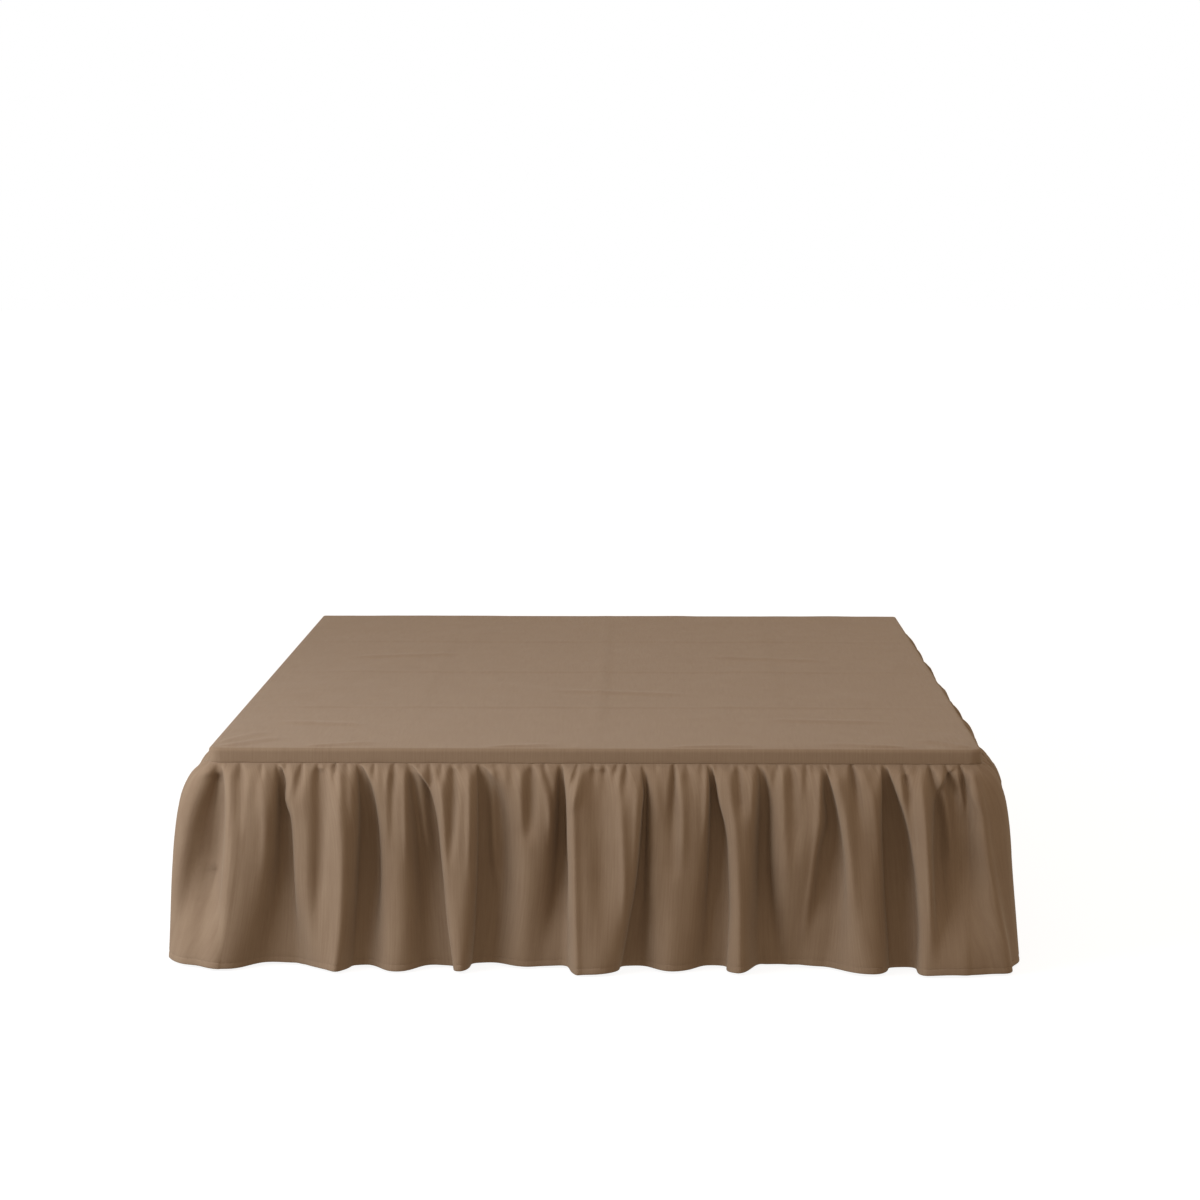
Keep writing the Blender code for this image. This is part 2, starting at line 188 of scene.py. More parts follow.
# Kinks in a fold's edge: the fold's number and side, then in millimetres the depth
# under the seam, the shift to the right and the length.
FOOT_KINKS = (
    (2, "left", 58, -9, 46),
    (6, "right", 46, 4, 44),
    (8, "left", 60, -4, 60),
    (9, "right", 96, 9, 70),
    (12, "left", 70, 4, 60),
)

# Pleats that start at the seam of the foot drop, in millimetres: where, how far
# they drift sideways over their length, how long, how deep and how wide they are.
FOOT_PLEATS = (
    (-684, 2, 30, 9, 4.0),
    (-625, -3, 50, 12, 7.0),
    (-588, 4, 26, 8, 4.0),
    (-545, 0, 30, 9, 6.0),
    (-516, -6, 54, 12, 5.5),
    (-488, 0, 60, 11, 5.5),
    (-473, 0, 9, 6, 3.0),
    (-458, 3, 34, 17, 4.5),
    (-438, 3, 22, 15, 4.5),
    (-389, 2, 26, 10, 4.0),
    (-354, -6, 100, 14, 6.5),
    (-309, 2, 12, 6, 3.0),
    (-291, 12, 80, 10, 5.5),
    (-270, 0, 18, 9, 3.5),
    (-250, -2, 60, 8, 6.0),
    (-234, 0, 10, 5, 3.0),
    (-216, 0, 9, 5, 3.0),
    (-174, 4, 60, 9, 8.0),
    (-147, 0, 12, 5, 4.0),
    (-110, -3, 80, 8, 7.0),
    (-90, 8, 34, 12, 4.5),
    (-29, -12, 38, 12, 4.0),
    (-1, -4, 60, 10, 6.0),
    (18, 2, 50, 10, 5.5),
    (40, -6, 28, 15, 4.5),
    (56, -4, 40, 16, 4.5),
    (109, 0, 14, 5, 4.0),
    (140, -1, 105, 17, 5.5),
    (163, 2, 34, 9, 6.0),
    (189, 0, 14, 9, 3.5),
    (216, 0, 9, 5, 3.0),
    (238, 0, 9, 5, 3.5),
    (253, 1, 50, 8, 7.0),
    (270, 0, 9, 5, 3.0),
    (312, -3, 30, 8, 8.0),
    (323, -6, 38, 13, 4.5),
    (347, 2, 70, 8, 8.0),
    (373, 0, 50, 12, 5.0),
    (385, 0, 11, 7, 3.0),
    (414, 2, 16, 10, 3.5),
    (453, 12, 90, 19, 6.5),
    (480, 2, 10, 6, 4.0),
    (495, 2, 16, 9, 4.5),
    (543, 10, 66, 14, 5.0),
    (566, 2, 12, 7, 3.5),
    (590, 12, 80, 17, 5.5),
    (618, 14, 64, 16, 5.0),
    (644, 12, 90, 12, 4.5),
    (677, 2, 20, 10, 3.0),
    (690, 2, 32, 8, 4.0),
)

# Soft ridges (height above 0) and troughs in the foot drop, in millimetres: the
# depths at which they start and end (500 is past the hem, so they run out over it),
# the places along the edge at the start, half way and at the end, width and height.
FOOT_CREASES = (
    (14, 352, -666, -670, -672, 7, -13.0),
    (180, 500, -668, -671, -674, 6, -8.0),
    (250, 500, -666, -659, -652, 4, 3.0),
    (3, 330, -633, -641, -655, 11, 4.0),
    (3, 130, -622, -626, -620, 9, -5.0),
    (3, 220, -582, -576, -580, 10, 5.0),
    (60, 500, -527, -521, -508, 6, 2.5),
    (4, 340, -477, -482, -487, 14, -14.0),
    (4, 500, -453, -441, -484, 15, 14.0),
    (3, 120, -434, -424, -420, 7, 5.0),
    (3, 170, -358, -363, -366, 7, 5.0),
    (3, 190, -332, -329, -326, 7, 6.0),
    (3, 200, -310, -300, -288, 11, 12.0),
    (20, 240, -268, -262, -255, 6, 4.0),
    (3, 185, -247, -249, -254, 8, -10.0),
    (3, 220, -219, -218, -220, 6, 5.0),
    (3, 250, -178, -177, -167, 9, 9.0),
    (3, 150, -128, -127, -125, 8, 5.0),
    (3, 150, -110, -112, -113, 10, -7.0),
    (3, 150, -93, -78, -78, 7, 6.0),
    (120, 500, -118, -120, -126, 18, 4.0),
    (3, 80, -20, -29, -43, 8, 7.0),
    (3, 500, -37, -33, -26, 9, 9.0),
    (3, 330, 9, 15, 20, 22, -13.0),
    (3, 320, 41, 53, 55, 8, 6.0),
    (20, 220, 77, 74, 70, 6, 3.0),
    (3, 120, 104, 112, 116, 9, 4.0),
    (3, 210, 152, 155, 152, 9, 7.0),
    (3, 150, 196, 197, 192, 6, 5.0),
    (180, 500, 140, 136, 134, 18, 3.0),
    (3, 500, 234, 255, 242, 9, 5.0),
    (3, 100, 254, 255, 260, 9, -7.0),
    (3, 120, 275, 279, 281, 7, 5.0),
    (3, 250, 333, 335, 344, 8, 4.0),
    (3, 180, 351, 352, 350, 12, -5.0),
    (3, 340, 397, 388, 362, 8, 8.0),
    (10, 300, 424, 446, 452, 12, 6.0),
    (3, 200, 475, 496, 502, 8, 4.0),
    (3, 120, 540, 551, 565, 7, 6.0),
    (10, 190, 545, 557, 566, 8, -9.0),
    (3, 330, 570, 584, 588, 8, 8.0),
    (3, 300, 592, 606, 616, 9, -6.0),
    (3, 190, 608, 622, 630, 8, 8.0),
    (3, 90, 638, 646, 652, 6, 8.0),
    (3, 500, 661, 671, 678, 5, 20.0),
)

# ---------------------------------------------------------------- folds of the side drops
# The sides repeat an uneven run of folds, as in the solids: how wide a fold is beside
# the others and its crest beside the fold, stand-offs in millimetres, and how steep.
RUN_COLUMNS = ("pitch", "crest", "out_mid", "out_hem", "valley_mid", "valley_hem", "tuck")
SIDE_RUN = (
    (1.05, 0.60, 64, 80, 10, 18, 0.8),
    (0.82, 0.56, 72, 91, 8, 22, 1.0),
    (1.22, 0.66, 55, 70, 14, 26, 0.5),
    (0.90, 0.58, 68, 86, 6, 14, 1.0),
    (1.12, 0.62, 60, 76, 16, 30, 0.6),
    (0.76, 0.55, 74, 90, 9, 20, 1.0),
    (1.13, 0.64, 48, 62, 12, 24, 0.4),
)
SIDE_FOLDS = 16
LEFT_RUN_START = 0          # the row in which each side's run starts
RIGHT_RUN_START = 4
FOLD_LEAN = 0.012           # a fold's hem lies this far to one side of its top
LEAN_CHANGE = 2.3           # how the lean changes from fold to fold
HEM_SWELL = 0.06            # crests are wider at the hem by this share

# What differs from fold to fold of a side drop, from the least to the most.
FOLD_SEED = 40
HIGHEST = (0.3, 0.7)        # where a crest is highest, as a share of its width
DISH = (0.0, 0.011)         # how hollow it is between its edges,
DISH_TO = (0.06, 0.24)      # down to this depth
ROUND = (0.3, 0.8)          # how round it is
HEM_STEEP = (0.1, 0.9)      # share of its walls' steepness that is left at the hem

# Pleats at the seam of a side drop, from the least to the most.
PLEAT_PITCH = 0.019         # distance between them on average,
PLEAT_STEP = (0.45, 1.55)   # times this
PLEAT_LENGTH = (0.016, 0.085)
PLEAT_DEPTH = (0.004, 0.011)
PLEAT_DRIFT = (-0.010, 0.010)
PLEAT_WIDTH = (0.0032, 0.0070)

# Soft ridges and troughs on each fold of a side drop, from the least to the most.
CREASES_EACH = 3
CREASE_SWAY = 0.012         # they bend to either side by up to this
CREASE_START = (0.005, 0.14)
CREASE_LENGTH = (0.08, 0.26)
CREASE_WIDTH = (0.006, 0.012)
CREASE_HEIGHT = (0.002, 0.0065)

# ---------------------------------------------------------------- the photograph's camera
SENSOR = 36.0               # millimetres wide
CAMERA_LENS = 91.29         # millimetres
CAMERA_X = 0.097            # to the right of the bed's middle
CAMERA_BACK = 5.3           # from the deck's foot edge
CAMERA_HEIGHT = 1.277
CAMERA_DOWN = 6.75          # turned down and to the left by these degrees
CAMERA_LEFT = 0.94

# ---------------------------------------------------------------- the studio
UPPER_LIGHT = 0.64          # soft light from all around above the horizon
LOWER_LIGHT = 0.36          # and from below it, as from a pale floor,
HORIZON_BLEND = 0.15        # changing softly over this height above and below it
SURROUNDINGS = "FFECD6"     # this light is a little warm
SOFT_BOX_COLOUR = "EAF3FF"  # and that of the soft boxes a little cool
# The soft boxes: place, what they are aimed at, size and watts. One stands in front at
# the upper left, so near that its light falls off to the right, and a low one at the
# left lights the flanks of the folds.
SOFT_BOXES = (
    ((-2.30, -2.30, 1.70), (-0.10, -0.95, 0.20), 1.5, 54.0),
    ((-2.60, -1.30, 0.80), (-0.70, -0.98, 0.25), 0.8, 18.0),
)
FLOOR_GLOW = 0.90           # the floor's own light, a little less than white
BACKDROP_RADIUS = 50.0


# ================================================================ small helpers
def colour(hex_colour):
    """An sRGB hex value as linear RGBA."""
    channels = [int(hex_colour[i:i + 2], 16) / 255 for i in (0, 2, 4)]
    return (*[c / 12.92 if c <= 0.04045 else ((c + 0.055) / 1.055) ** 2.4 for c in channels], 1.0)


def named_columns(columns, rows):
    """A table's columns as arrays, by name."""
    return {name: np.array(values, float) for name, values in zip(columns, zip(*rows))}


def in_metres(table, whole=()):
    """A table of millimetres in metres, apart from its whole columns."""
    return [[value if i in whole else value / 1000 for i, value in enumerate(row)] for row in table]


def smooth(x):
    """0 below 0, 1 above 1 and a soft step between."""
    x = np.clip(x, 0.0, 1.0)
    return x * x * (3 - 2 * x)


def between(top, mid, low, t):
    """Smooth run through three values, at t of 0, 0.5 and 1."""
    return top * (1 - t) * (1 - 2 * t) + mid * 4 * t * (1 - t) + low * t * (2 * t - 1)


def add_piece(name, mesh, material, slot, *replaced):
    """Shows a finished mesh as a piece that stands for solids of the frame."""
    mesh.name = name
    mesh.shade_smooth()
    mesh.materials.append(material)
    piece = bpy.data.objects.new(name, mesh)
    bpy.context.scene.collection.objects.link(piece)
    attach(piece, "root")
    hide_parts(*replaced)
    return piece


def add_thickness(piece, thickness):
    """Gives an open sheet its thickness, towards the bed."""
    solidify = piece.modifiers.new("cloth thickness", "SOLIDIFY")
    solidify.thickness = thickness
    solidify.offset = -1.0


def sheet_mesh(points, flat):
    """A grid of cloth, moved onto points (rows, columns, 3), with its flat place as UV."""
    down, across = points.shape[0] - 1, points.shape[1] - 1
    bm = bmesh.new()
    bmesh.ops.create_grid(bm, x_segments=across, y_segments=down, size=1.0)
    mesh = bpy.data.meshes.new("sheet")
    bm.to_mesh(mesh)
    bm.free()
    grid = np.empty(len(mesh.vertices) * 3, np.float32)
    mesh.vertices.foreach_get("co", grid)
    grid = grid.reshape(-1, 3)
    column = np.rint((grid[:, 0] + 1) / 2 * across).astype(int)
    row = np.rint((1 - grid[:, 1]) / 2 * down).astype(int)
    mesh.vertices.foreach_set("co", points[row, column].astype(np.float32).ravel())
    corner = np.empty(len(mesh.loops), np.int32)
    mesh.loops.foreach_get("vertex_index", corner)
    uv = mesh.uv_layers.new(name="flat cloth")
    uv.data.foreach_set("uv", flat[row[corner], column[corner]].astype(np.float32).ravel())
    mesh.update()
    return mesh


def cloth_noise(across, down, scale_across, scale_down, seed):
    """Soft noise from -1 to 1 over the flat cloth; across and down are arrays of places."""
    values = [noise.noise((a / scale_across, d / scale_down, seed))
              for a, d in zip(across.ravel(), down.ravel())]
    return np.array(values).reshape(across.shape)


# ================================================================ drops
def edge_points(s, out, z):
    """Points at places s along the deck's edge, measured from the middle of the foot,
    this far out from the border's outer face and at height z."""
    side = np.where(s >= 0, 1.0, -1.0)
    run = np.abs(s)
    turn = np.clip((run - FOOT_STRAIGHT) / DECK_CORNER, 0.0, math.pi / 2)
    out_x, out_y = side * np.sin(turn), -np.cos(turn)
    x = side * (np.minimum(run, FOOT_STRAIGHT) + DECK_CORNER * np.sin(turn))
    y = DECK_FOOT_Y + DECK_CORNER * (1 - np.cos(turn)) + np.maximum(run - CORNER_END, 0.0)
    return np.stack((x + out_x * out, y + out_y * out, np.broadcast_to(z, s.shape)), axis=1)


def foot_folds():
    """Folds of the foot drop in metres. None of them is hollow between its edges."""
    folds = named_columns(FOLD_COLUMNS, FOOT_FOLDS)
    folds.update(named_columns(CREST_COLUMNS, FOOT_CRESTS))
    for column in (*FOLD_COLUMNS[:-2], "pleat"):
        folds[column] /= 1000
    folds["dish"] = folds["dish_to"] = np.zeros(len(FOOT_FOLDS))
    return folds


def side_folds(run_start):
    """Folds of a right-hand side drop, from the slit to the head."""
    picked = [SIDE_RUN[(run_start + i) % len(SIDE_RUN)] for i in range(SIDE_FOLDS)]
    run = named_columns(RUN_COLUMNS, picked)
    room = EDGE_END - SPLIT - SPLIT_GAP
    pitch = run["pitch"] * room / run["pitch"].sum()
    ends = SPLIT + SPLIT_GAP + np.cumsum(pitch)
    middle = ends - pitch / 2
    lean = FOLD_LEAN * np.sin(LEAN_CHANGE * np.arange(SIDE_FOLDS) + run_start)
    folds = {"tuck_left": run["tuck"], "tuck_right": run["tuck"], "pleat": ends}
    for level, share in (("top", 0.0), ("mid", 0.5), ("hem", 1.0)):
        half = pitch * run["crest"] / 2 * (1.0 + HEM_SWELL * share)
        folds["left_" + level] = middle - half + lean * share
        folds["right_" + level] = middle + half + lean * share
    for column in ("out_mid", "out_hem", "valley_mid", "valley_hem"):
        folds[column] = run[column] / 1000
    rng = np.random.default_rng(FOLD_SEED + run_start)
    for column in ("crest_top", "crest_mid", "crest_hem"):
        folds[column] = rng.uniform(*HIGHEST, SIDE_FOLDS)
    folds["dish"] = rng.uniform(*DISH, SIDE_FOLDS)
    folds["dish_to"] = rng.uniform(*DISH_TO, SIDE_FOLDS)
    for side in ("left", "right"):
        folds["round_" + side] = rng.uniform(*ROUND, SIDE_FOLDS)
        folds["hem_" + side] = run["tuck"] * rng.uniform(*HEM_STEEP, SIDE_FOLDS)
    return folds


def mirrored(folds):
    """The same folds on the other side, still listed left to right."""
    flipped = {name: values[::-1] for name, values in folds.items()}
    for level in ("top", "mid", "hem"):
        flipped["left_" + level] = -folds["right_" + level][::-1]
        flipped["right_" + level] = -folds["left_" + level][::-1]
        flipped["crest_" + level] = 1 - folds["crest_" + level][::-1]
    for kind in ("tuck_", "round_", "hem_"):
        flipped[kind + "left"] = folds[kind + "right"][::-1]
        flipped[kind + "right"] = folds[kind + "left"][::-1]
    for column, sign in (("valley_mid", 1), ("valley_hem", 1), ("pleat", -1)):
        flipped[column] = np.append(sign * folds[column][-2::-1], 0.0)
    return flipped


def growth(t):
    """How far a fold has opened at t of its drop: fast under the seam, then slowly."""
    v = t * DROP
    at_once = OPEN_AT_ONCE * (1 - math.exp(-v / ONCE_DEPTH))
    soon = OPEN_SOON * (1 - math.exp(-v / SOON_DEPTH))
    return at_once + soon + OPEN_EVENLY * t


def stand_off(mid, hem, t):
    """Offset of a crest or valley at t, from its values half way down and at the hem."""
    blend = smooth((t - HEM_COUNTS_FROM) / (1 - HEM_COUNTS_FROM))
    upper = mid / growth(0.5)
    return growth(t) * (upper + (hem / growth(1.0) - upper) * blend)


def edges_at(folds, kinks, seed, t):
    """Left and right edges of the crests at t, with their kinks and their wander."""
    v = t * DROP
    edges = {}
    for side, start in WOBBLE_START.items():
        edge = between(folds[side + "_top"], folds[side + "_mid"], folds[side + "_hem"], t)
        edge += [WOBBLE * noise.noise((i * WOBBLE_STEP + start, v / WOBBLE_LENGTH, seed))
                 for i in range(len(edge))]
        edges[side] = edge
    for fold, side, depth, shift, length in kinks:
        edges[side][fold] += shift * math.exp(-((v - depth) / (length / 2)) ** 2)
    pinch = math.exp(-v / PINCH_DEPTH)
    left, right = edges["left"], edges["right"]
    right[:-1] += (folds["pleat"][:-1] - PINCH_HALF - right[:-1]) * pinch
    left[1:] += (folds["pleat"][:-1] + PINCH_HALF - left[1:]) * pinch
    return left, right


def knots_at(folds, kinks, ends, seed, t):
    """Crests and valleys at t, as place, offset and hollow, and the walls between
    them, as place, steepness and roundness."""
    left, right = edges_at(folds, kinks, seed, t)
    out = stand_off(folds["out_mid"], folds["out_hem"], t)
    low = stand_off(folds["valley_mid"], folds["valley_hem"], t)
    highest = between(folds["crest_top"], folds["crest_mid"], folds["crest_hem"], t)
    crest = left + (right - left) * highest
    hollow = folds["dish"] * growth(t) * (1 - smooth((t * DROP - folds["dish_to"]) / DISH_END))
    near_hem = smooth(2 * t - 1)
    steep = {side: folds["tuck_" + side] * (1 - near_hem) + folds["hem_" + side] * near_hem
             for side in ("left", "right")}
    (start, start_lean, start_hang), (end, end_lean, end_hang) = ends
    knots = [(start + start_lean * t, start_hang * out[0], 0.0)]
    walls = []
    for i in range(len(left)):
        walls.append((left[i], steep["left"][i], folds["round_left"][i]))
        knots.append((crest[i], out[i], hollow[i]))
        walls.append((right[i], steep["right"][i], folds["round_right"][i]))
        if i + 1 < len(left):
            knots.append(((right[i] + left[i + 1]) / 2, low[i], 0.0))
    knots.append((end + end_lean * t, end_hang * out[-1], 0.0))
    return knots, walls


def wall_line(a, b, wall, t):
    """Places and offsets from knot a to knot b, half way where the wall stands."""
    step = np.linspace(0.0, 1.0, FINE_STEPS + 1)
    place, tuck, roundness = wall
    span = b[0] - a[0]
    share = (place - a[0]) / span
    skew = (1 - share) / share
    steepness = 4 * skew / (1 + skew) ** 2
    tuck *= steepness * min(t / TUCK_FROM, 1.0)
    along = step / (step + skew * (1 - step))
    along += tuck * np.sin(2 * math.pi * step) / (2 * math.pi)
    fall = step if a[1] >= b[1] else 1 - step
    depth = fall ** 3 * (10 - 15 * fall + 6 * fall ** 2)
    depth += roundness * t * np.sin(math.pi * fall) ** 2 * (1 - fall)
    hollow = max(a[2], b[2]) * (1 - smooth(fall / DISH_REACH))
    return a[0] + span * along, max(a[1], b[1]) - abs(b[1] - a[1]) * depth - hollow


def line_length(s, out):
    """Length along a line of places and offsets, up to each of its points."""
    return np.concatenate(([0.0], np.cumsum(np.hypot(np.diff(s), np.diff(out)))))


def drop_row(knots, walls, counts, t):
    """One row of the sheet: the place and offset of each column, evenly along the cloth
    within each half fold."""
    places, offsets = [], []
    for i, (wall, count) in enumerate(zip(walls, counts)):
        s, out = wall_line(knots[i], knots[i + 1], wall, t)
        length = line_length(s, out)
        stops = length[-1] * np.arange(count) / count
        places.append(np.interp(stops, length, s))
        offsets.append(np.interp(stops, length, out))
    places.append([knots[-1][0]])
    offsets.append([knots[-1][1]])
    return np.concatenate(places), np.concatenate(offsets)


def columns_of(knots, walls, cell):
    """Cells in each half fold and every column's flat place, both measured at the hem."""
    counts, flat, start = [], [], 0.0
    for i, wall in enumerate(walls):
        length = line_length(*wall_line(knots[i], knots[i + 1], wall, 1.0))[-1]
        count = max(LEAST_CELLS, round(length / cell))
        flat.extend(start + length * np.arange(count) / count)
        counts.append(count)
        start += length
    return counts, np.append(np.array(flat), start)


def row_depths():
    """Depths under the seam of the rows: close at the seam and at the hem's stitches."""
    depths, step = [ROW_FIRST], ROW_FIRST
    around_stitches = [DROP - HEM_DEPTH + below for below in STITCH_ROWS]
    while depths[-1] + ROW_ROOM * step < around_stitches[0]:
        depths.append(depths[-1] + step)
        step = min(step * ROW_GROWTH, ROW_MOST)
    to_the_edge = [DROP - above for above in EDGE_ROWS]
    return np.array(depths + around_stitches + to_the_edge)


def pleats(table, s, v):
    """Small pleats that start at the seam, as an offset towards the bed."""
    offset = np.zeros_like(s)
    for place, drift, length, depth, width in table:
        fade = (1 - math.exp(-v / PLEAT_ONSET)) * math.exp(-(v / length) ** PLEAT_FADE)
        if fade < PLEAT_LEAST:
            continue
        run = min(v / length, PLEAT_RUN)
        spread = width * (PLEAT_START + PLEAT_SPREAD * run)
        offset -= depth * fade * np.exp(-((s - place - drift * run) / spread) ** 2)
    return offset


def puffs(s, v, seed):
    """How far the gathered cloth swells out just under the stitches."""
    swell = PUFF * (1 - math.exp(-v / PUFF_ONSET)) * math.exp(-(v / PUFF_FADE) ** PUFF_EASE)
    if swell < PUFF_LEAST:
        return 0.0
    return swell * np.array([1 + noise.noise((place / PUFF_LENGTH, v / PUFF_FADE, seed))
                             for place in s])


def creases(table, s, v):
    """Soft ridges and troughs, as an offset away from the bed."""
    offset = np.zeros_like(s)
    for start, end, top, mid, low, width, height in table:
        share = (v - start) / (end - start)
        if not 0 < share < 1:
            continue
        size = height * float(smooth((v - start) / CREASE_ONSET))
        if end < DROP:
            size *= float(smooth((1 - share) / CREASE_FADE))
        offset += size * np.exp(-((s - between(top, mid, low, share)) / width) ** 2)
    return offset


def unevenness(across, depths, seed):
    """Offsets of the cloth between its folds, row by row."""
    across, down = np.meshgrid(across, depths)
    offsets = sum(height * cloth_noise(across, down, scale_across, scale_down, seed + apart)
                  for height, scale_across, scale_down, apart in UNEVEN)
    return smooth(down / UNEVEN_ONSET) * offsets


def drop_points(folds, kinks, ends, cell, pleat_table, crease_table, seed):
    """The cloth's points, row by row from inside the seam to the inside of the hem."""
    counts, across = columns_of(*knots_at(folds, kinks, ends, seed, 1.0), cell)
    depths = row_depths()
    rows = []
    for v, uneven in zip(depths, unevenness(across, depths, seed)):
        t = v / DROP
        s, out = drop_row(*knots_at(folds, kinks, ends, seed, t), counts, t)
        out = out + puffs(s, v, seed) + pleats(pleat_table, s, v) + creases(crease_table, s, v)
        out = np.maximum(out + uneven, SEAM_FLOOR)
        out = out - HEM_GROOVE * math.exp(-((DROP - HEM_DEPTH - v) / STITCH_WIDTH) ** 2)
        if not rows:
            rows = [edge_points(s, offset, SEAM_HEIGHT + rise) for rise, offset in SEAM_ROWS]
        waver = t * HEM_WAVER * np.sin(across / WAVER_LENGTH)
        rows.append(edge_points(s, out, SEAM_HEIGHT - TOUCH - v + waver))
    rows += hem_rows(rows[-1])
    top = SEAM_ROWS[0][0]
    sewn_in = [top - rise for rise, _ in SEAM_ROWS]
    flat_down = np.concatenate((sewn_in, top + depths, top + depths[-1] + hem_lengths()))
    return np.array(rows), np.stack(np.meshgrid(across, flat_down), axis=2)


def hem_lengths():
    """Flat places of the hem's rows, from where its fold starts."""
    return np.concatenate((HEM_TURN * HEM_ANGLES, HEM_TURN * math.pi + HEM_RISES))


def hem_rows(edge):
    """Rows of the hem, folded under the edge row and up behind it."""
    along = np.gradient(edge[:, :2], axis=0)
    along /= np.linalg.norm(along, axis=1)[:, None]
    inward = np.stack((-along[:, 1], along[:, 0]), axis=1)
    rows = []
    for angle in HEM_ANGLES:
        row = edge.copy()
        row[:, :2] += inward * HEM_TURN * (1 - math.cos(angle))
        row[:, 2] -= HEM_TURN * math.sin(angle)
        rows.append(row)
    for rise in HEM_RISES:
        row = rows[len(HEM_ANGLES) - 1].copy()
        row[:, 2] += rise
        rows.append(row)
    return rows


def side_pleats(sign, seed):
    """Pleats of a side drop, in an uneven row along its seam."""
    rng = np.random.default_rng(seed)
    table = []
    place = SPLIT + SPLIT_GAP
    while place < EDGE_END - PLEAT_PITCH / 2:
        place += PLEAT_PITCH * rng.uniform(*PLEAT_STEP)
        length = rng.uniform(*PLEAT_LENGTH)
        depth = rng.uniform(*PLEAT_DEPTH)
        drift = rng.uniform(*PLEAT_DRIFT)
        width = rng.uniform(*PLEAT_WIDTH)
        table.append((sign * place, drift, length, depth, width))
    return table


def side_creases(folds, seed):
    """Soft ridges and troughs on each fold of a side drop."""
    rng = np.random.default_rng(seed)
    table = []
    for left, right in zip(folds["left_mid"], folds["right_mid"]):
        for _ in range(CREASES_EACH):
            top, mid, low = rng.uniform(left, right) + rng.uniform(-CREASE_SWAY, CREASE_SWAY, 3)
            start = rng.uniform(*CREASE_START)
            end = min(start + rng.uniform(*CREASE_LENGTH), DROP)
            width = rng.uniform(*CREASE_WIDTH)
            height = rng.choice((-1, 1)) * rng.uniform(*CREASE_HEIGHT)
            table.append((start, end, top, mid, low, width, height))
    return table


def make_drop(name, folds, kinks, ends, cell, pleat_table, crease_table, seed, material):
    """A gathered drop. Each of its ends gives its place along the deck's edge, how it
    leans, and how far it hangs out, as a share of the fold beside it."""
    points, flat = drop_points(folds, kinks, ends, cell, pleat_table, crease_table, seed)
    drop = add_piece(name + "_cloth", sheet_mesh(points, flat), material, "skirt_cloth", name)
    add_thickness(drop, CLOTH)


def make_drops(material):
    """The foot drop from its tables, and a drop on each side with its own seeds."""
    foot_ends = ((-SPLIT, SPLIT_LEAN, SPLIT_HANG), (SPLIT, -SPLIT_LEAN, SPLIT_HANG))
    make_drop("foot_drop", foot_folds(), in_metres(FOOT_KINKS, whole=(0, 1)), foot_ends,
              FOOT_CELL, in_metres(FOOT_PLEATS), in_metres(FOOT_CREASES), 1.0, material)
    side_start = SPLIT + SPLIT_GAP
    right = side_folds(RIGHT_RUN_START)
    right_ends = ((side_start, SPLIT_LEAN, SIDE_HANG), (EDGE_END, 0.0, HEAD_HANG))
    make_drop("right_drop", right, (), right_ends, SIDE_CELL,
              side_pleats(1, 21), side_creases(right, 22), 2.0, material)
    left = mirrored(side_folds(LEFT_RUN_START))
    left_ends = ((-EDGE_END, 0.0, HEAD_HANG), (-side_start, -SPLIT_LEAN, SIDE_HANG))
    make_drop("left_drop", left, (), left_ends, SIDE_CELL,
              side_pleats(-1, 31), side_creases(left, 32), 3.0, material)


# ================================================================ deck panel
DECK_CELL = 0.012
DECK_FOLD = 0.007           # the cloth folds down softly, a little rounder than its solid
DECK_INNER_RADIUS = DECK_CORNER - DECK_FOLD
CORNER_X = DECK_HALF - DECK_FOLD - DECK_INNER_RADIUS        # middle of a foot corner's
CORNER_Y = DECK_FOOT_Y + DECK_FOLD + DECK_INNER_RADIUS      # rounding
TURN_LENGTH = DECK_FOLD * math.pi / 2
BORDER_FACE = DECK_TOP - SEAM_HEIGHT - DECK_FOLD
CORNER_LINES = 5            # grid lines up to the border's fold,
FOLD_LINES = 6              # round it,
BORDER_LINES = (0.25, 0.5, 0.7, 0.84, 0.93, 0.97, 1.0)      # and down the border's face
BORDER_RIPPLE = 0.0016      # the gathers pull the border's lower edge out here and there,
BORDER_DIP = 0.0010         # and down,
RIPPLE_LENGTH = 0.019       # in ripples about this long,
RIPPLE_SEED = 6.0
BORDER_CURL = 0.0006        # and at its seam the border turns in,
CURL_HEIGHT = 0.0018        # over this height
CREASE_ENDS = 0.25          # a crease of the deck fades over this share at both ends

# Slack between the creases: its height, then for both noises that make it up the
# share, the lengths across and along, and the seed.
DECK_SLACK = 0.0022
SLACK_PARTS = ((1.0, 0.21, 0.34, 4.0), (0.5, 0.08, 0.12, 9.0))

# Creases of the deck panel, in millimetres: both ends, from the middle of the foot
# edge, then width and height. The long ones are the folds in which it was packed.
DECK_CREASES = (
    (0, -20, 0, 2000, 6, 2.0),
    (-345, -20, -345, 2000, 6, 1.5),
    (345, -20, 345, 2000, 6, 1.5),
    (-800, 480, 800, 480, 6, 1.9),
    (-800, 960, 800, 960, 6, 2.0),
    (-800, 1440, 800, 1440, 6, 1.8),
    (-672, 8, -560, 120, 9, 3.6),
    (-680, 40, -600, 190, 10, 3.0),
    (-520, 14, -380, 70, 12, 3.2),
    (668, 12, 580, 110, 9, 3.6),
    (560, 16, 400, 60, 12, 3.0),
    (-200, 10, -60, 46, 14, 2.6),
    (120, 16, 300, 40, 14, 2.6),
    (-600, 300, -420, 260, 16, 3.0),
    (300, 330, 560, 300, 16, 3.0),
    (-120, 700, 200, 640, 20, 3.0),
    (200, 1200, 500, 1120, 20, 3.0),
    (-560, 1180, -300, 1240, 20, 3.0),
)


